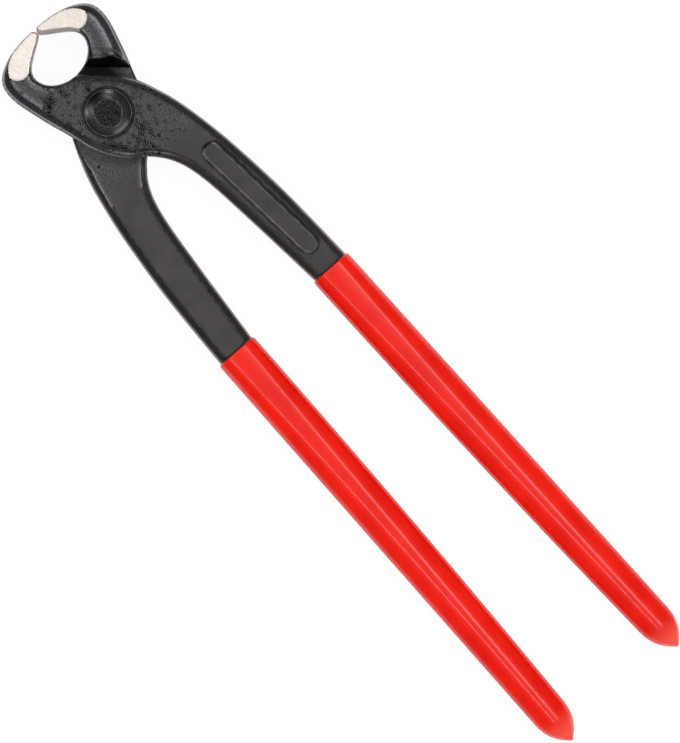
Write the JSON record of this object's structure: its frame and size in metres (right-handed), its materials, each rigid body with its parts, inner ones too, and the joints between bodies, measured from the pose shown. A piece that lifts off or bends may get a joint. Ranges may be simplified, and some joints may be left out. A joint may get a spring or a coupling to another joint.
{
  "type": "concreters' nippers",
  "caption": "Hand nippers with hooked cutting jaws on a riveted lap joint and long handles in dipped red grips, for twisting and cutting tie wire.",
  "frame": {"origin": "centre of the rivet's flat back head, where the closed tool rests on a flat surface", "axes": "+Y along the tool towards the jaws, +Z along the pivot axis towards the dished front of the rivet, +X to the right seen from the front with the jaws up"},
  "size_m": [0.0498, 0.2496, 0.015],
  "materials": {
    "forged_steel": "drop-forged tool steel, blackened and oiled, with bright ground cheeks on the jaws",
    "rivet_steel": "blackened steel rivet with a dished front head",
    "red_plastic": "glossy dipped soft plastic"
  },
  "bodies": {
    "front_half": {"front_limb": "forged_steel", "front_grip": "red_plastic", "joint_rivet": "rivet_steel"},
    "rear_half": {"rear_limb": "forged_steel", "rear_grip": "red_plastic"}
  },
  "joints": [
    {"name": "limb_pivot", "type": "hinge", "parent": "front_half", "child": "rear_half", "pos_m": [0, 0, 0.0075], "axis": [0, 0, -1], "range_deg": [0, 30]}
  ]
}
